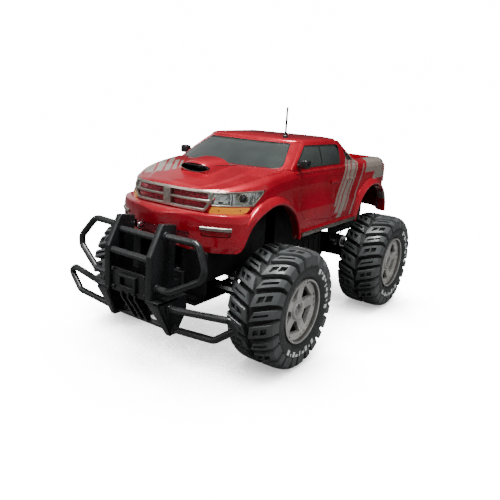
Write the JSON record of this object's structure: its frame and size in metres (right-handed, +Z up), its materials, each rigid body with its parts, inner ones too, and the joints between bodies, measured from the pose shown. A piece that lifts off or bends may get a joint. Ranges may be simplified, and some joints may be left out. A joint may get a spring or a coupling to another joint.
{
  "type": "remote control monster truck",
  "caption": "Toy remote control pickup on tall lugged tyres: moulded shell on a tub chassis, sprung solid axles, steered front wheels, geared rear axle and a tubular bull bar.",
  "frame": {"origin": "on the ground under the middle of the truck's bounding box", "axes": "+X to the truck's left side, -Y towards the nose, +Z up"},
  "size_m": [0.307, 0.508, 0.311],
  "materials": {
    "red_paint": "metallic red gloss paint on moulded plastic",
    "dark_glass": "dark tinted gloss windows",
    "silver_trim": "champagne silver coated",
    "clear_lens": "clear lamp cover over silver",
    "red_lens": "translucent red",
    "black_plastic": "fine moulded texture",
    "tyre": "moulded rubber",
    "rim_finish": "dark titanium plated",
    "steel": "bright",
    "white_nylon": "natural nylon",
    "board_green": "solder mask",
    "battery_wrap": "shrink wrap"
  },
  "bodies": {
    "chassis": {"chassis_tub": "black_plastic", "front_shock_tower": "black_plastic", "rear_shock_tower": "black_plastic", "battery_pack": "battery_wrap", "receiver_board": "board_green", "body_shell": "red_paint", "windscreen": "dark_glass", "rear_window": "dark_glass", "side_window_left": "dark_glass", "side_window_right": "dark_glass", "grille": "silver_trim", "headlight_left": "clear_lens", "headlight_right": "clear_lens", "tail_light_left": "red_lens", "tail_light_right": "red_lens", "mirror_left": "black_plastic", "mirror_right": "black_plastic", "antenna": "black_plastic", "scoop_insert": "black_plastic", "bull_bar_frame": "black_plastic", "bull_bar_upper_loop_left": "black_plastic", "bull_bar_upper_loop_right": "black_plastic", "bull_bar_lower_loop_left": "black_plastic", "bull_bar_lower_loop_right": "black_plastic", "front_spring_left": "steel", "front_spring_right": "steel", "rear_spring_left": "steel", "rear_spring_right": "steel"},
    "front_axle": {"front_axle_beam": "black_plastic", "steering_servo": "black_plastic", "front_shock_rod_left": "steel", "front_shock_rod_right": "steel"},
    "front_link_arm": {"front_link": "black_plastic"},
    "rear_link_arm": {"rear_link": "black_plastic"},
    "steering_knuckle_left": {"knuckle_left": "black_plastic"},
    "steering_knuckle_right": {"knuckle_right": "black_plastic"},
    "steering_tie_rod": {"tie_rod": "steel"},
    "steering_horn": {"servo_horn": "white_nylon"},
    "front_wheel_left": {"front_tyre_left": "tyre", "front_rim_left": "rim_finish", "front_wheel_nut_left": "steel"},
    "front_wheel_right": {"front_tyre_right": "tyre", "front_rim_right": "rim_finish", "front_wheel_nut_right": "steel"},
    "rear_axle": {"axle_housing_left": "black_plastic", "axle_housing_right": "black_plastic", "drive_motor": "steel", "rear_shock_rod_left": "steel", "rear_shock_rod_right": "steel"},
    "rear_wheels": {"rear_axle_shaft": "steel", "final_gear": "white_nylon", "rear_tyre_left": "tyre", "rear_tyre_right": "tyre", "rear_rim_left": "rim_finish", "rear_rim_right": "rim_finish", "rear_wheel_nut_left": "steel", "rear_wheel_nut_right": "steel"},
    "pinion": {"motor_pinion": "steel"},
    "battery_hatch": {"battery_door": "black_plastic"},
    "switch_knob": {"power_switch": "white_nylon"}
  },
  "joints": [
    {"name": "front_suspension", "type": "slide", "parent": "chassis", "child": "front_axle", "axis": [0, 0, 1], "range_m": [0, 0.011], "stiffness_N_per_m": 1500, "springref_m": -0.012, "deforming": ["front_spring_left", "front_spring_right"]},
    {"name": "rear_suspension", "type": "slide", "parent": "chassis", "child": "rear_axle", "axis": [0, 0, 1], "range_m": [0, 0.011], "stiffness_N_per_m": 1500, "springref_m": -0.012, "deforming": ["rear_spring_left", "rear_spring_right"]},
    {"name": "front_link_swing", "type": "hinge", "parent": "chassis", "child": "front_link_arm", "pos_m": [0, -0.05, 0.081], "axis": [1, 0, 0], "range_deg": [-15.5, 0.2]},
    {"name": "rear_link_swing", "type": "hinge", "parent": "chassis", "child": "rear_link_arm", "pos_m": [0, 0.126, 0.081], "axis": [1, 0, 0], "range_deg": [-0.2, 21.7]},
    {"name": "steering_left", "type": "hinge", "parent": "front_axle", "child": "steering_knuckle_left", "pos_m": [0.074, -0.109, 0.075], "axis": [0, 0, 1], "range_deg": [-17, 17]},
    {"name": "steering_right", "type": "hinge", "parent": "front_axle", "child": "steering_knuckle_right", "pos_m": [-0.074, -0.109, 0.075], "axis": [0, 0, 1], "range_deg": [-17.2, 17.2]},
    {"name": "tie_rod_travel", "type": "slide", "parent": "front_axle", "child": "steering_tie_rod", "axis": [1, 0, 0], "range_m": [-0.00605, 0.00605]},
    {"name": "servo_horn_turn", "type": "hinge", "parent": "front_axle", "child": "steering_horn", "pos_m": [0, -0.152, 0.088], "axis": [0, 0, 1], "range_deg": [-17.2, 17.2]},
    {"name": "front_wheel_left_spin", "type": "hinge", "parent": "steering_knuckle_left", "child": "front_wheel_left", "pos_m": [0.12, -0.109, 0.075], "axis": [1, 0, 0], "continuous": true},
    {"name": "front_wheel_right_spin", "type": "hinge", "parent": "steering_knuckle_right", "child": "front_wheel_right", "pos_m": [-0.12, -0.109, 0.075], "axis": [1, 0, 0], "continuous": true},
    {"name": "rear_wheels_spin", "type": "hinge", "parent": "rear_axle", "child": "rear_wheels", "pos_m": [0, 0.179, 0.075], "axis": [1, 0, 0], "continuous": true},
    {"name": "pinion_spin", "type": "hinge", "parent": "rear_axle", "child": "pinion", "pos_m": [0.003, 0.20339, 0.084], "axis": [1, 0, 0], "continuous": true},
    {"name": "battery_door_hinge", "type": "hinge", "parent": "chassis", "child": "battery_hatch", "pos_m": [-0.027, 0.055, 0.062], "axis": [0, 1, 0], "range_deg": [0, 85]},
    {"name": "switch_slide", "type": "slide", "parent": "chassis", "child": "switch_knob", "axis": [1, 0, 0], "range_m": [0, 0.006]}
  ],
  "couplings": [
    {"joint": "front_link_swing", "follows": "front_suspension", "rad_per_m": -22.222},
    {"joint": "rear_link_swing", "follows": "rear_suspension", "rad_per_m": 31.25},
    {"joint": "steering_right", "follows": "steering_left", "ratio": 1},
    {"joint": "tie_rod_travel", "follows": "steering_left", "m_per_rad": 0.02},
    {"joint": "servo_horn_turn", "follows": "steering_left", "ratio": -1},
    {"joint": "pinion_spin", "follows": "rear_wheels_spin", "ratio": -3}
  ]
}
